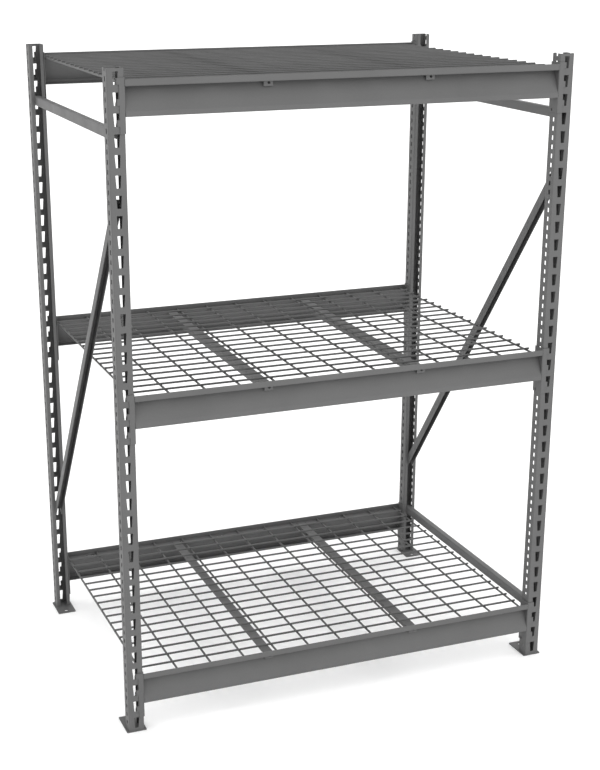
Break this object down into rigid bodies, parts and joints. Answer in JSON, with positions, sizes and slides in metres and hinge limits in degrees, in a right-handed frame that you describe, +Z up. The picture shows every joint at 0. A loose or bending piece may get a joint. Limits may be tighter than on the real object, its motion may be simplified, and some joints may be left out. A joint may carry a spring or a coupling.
{
  "type": "boltless bulk storage rack",
  "caption": "Boltless steel bulk rack: slotted channel posts, hook-in step beams and lift-out welded wire decks at three levels.",
  "frame": {"origin": "on the floor, under the middle of the rack", "axes": "+X to the right along the beams, +Y from the front to the rear, +Z up"},
  "size_m": [1.3372, 0.9144, 1.8288],
  "materials": {
    "powder_coat": "smooth grey powder coat, satin",
    "deck_wire": "grey powder coat on round wire, satin"
  },
  "bodies": {
    "rack": {"post_front_left": "powder_coat", "base_plate_front_left": "powder_coat", "post_rear_left": "powder_coat", "base_plate_rear_left": "powder_coat", "brace_left_top": "powder_coat", "brace_left_diagonal": "powder_coat", "post_front_right": "powder_coat", "base_plate_front_right": "powder_coat", "post_rear_right": "powder_coat", "base_plate_rear_right": "powder_coat", "brace_right_top": "powder_coat", "brace_right_diagonal": "powder_coat", "brace_right_bottom": "powder_coat", "beam_bottom_front": "powder_coat", "beam_bottom_rear": "powder_coat", "connector_bottom_front_left": "powder_coat", "connector_bottom_front_right": "powder_coat", "connector_bottom_rear_left": "powder_coat", "connector_bottom_rear_right": "powder_coat", "deck_support_bottom_left": "powder_coat", "deck_support_bottom_right": "powder_coat", "beam_middle_front": "powder_coat", "beam_middle_rear": "powder_coat", "connector_middle_front_left": "powder_coat", "connector_middle_front_right": "powder_coat", "connector_middle_rear_left": "powder_coat", "connector_middle_rear_right": "powder_coat", "deck_support_middle_left": "powder_coat", "deck_support_middle_right": "powder_coat", "beam_top_front": "powder_coat", "beam_top_rear": "powder_coat", "connector_top_front_left": "powder_coat", "connector_top_front_right": "powder_coat", "connector_top_rear_left": "powder_coat", "connector_top_rear_right": "powder_coat", "deck_support_top_left": "powder_coat", "deck_support_top_right": "powder_coat"},
    "deck_bottom": {"deck_bottom_depth_wires": "deck_wire", "deck_bottom_width_wires": "deck_wire"},
    "deck_middle": {"deck_middle_depth_wires": "deck_wire", "deck_middle_width_wires": "deck_wire"},
    "deck_top": {"deck_top_depth_wires": "deck_wire", "deck_top_width_wires": "deck_wire"}
  },
  "joints": [
    {"name": "deck_bottom_lift", "type": "slide", "parent": "rack", "child": "deck_bottom", "axis": [0, 0, 1], "range_m": [0, 0.1]},
    {"name": "deck_middle_lift", "type": "slide", "parent": "rack", "child": "deck_middle", "axis": [0, 0, 1], "range_m": [0, 0.1]},
    {"name": "deck_top_lift", "type": "slide", "parent": "rack", "child": "deck_top", "axis": [0, 0, 1], "range_m": [0, 0.1]}
  ]
}
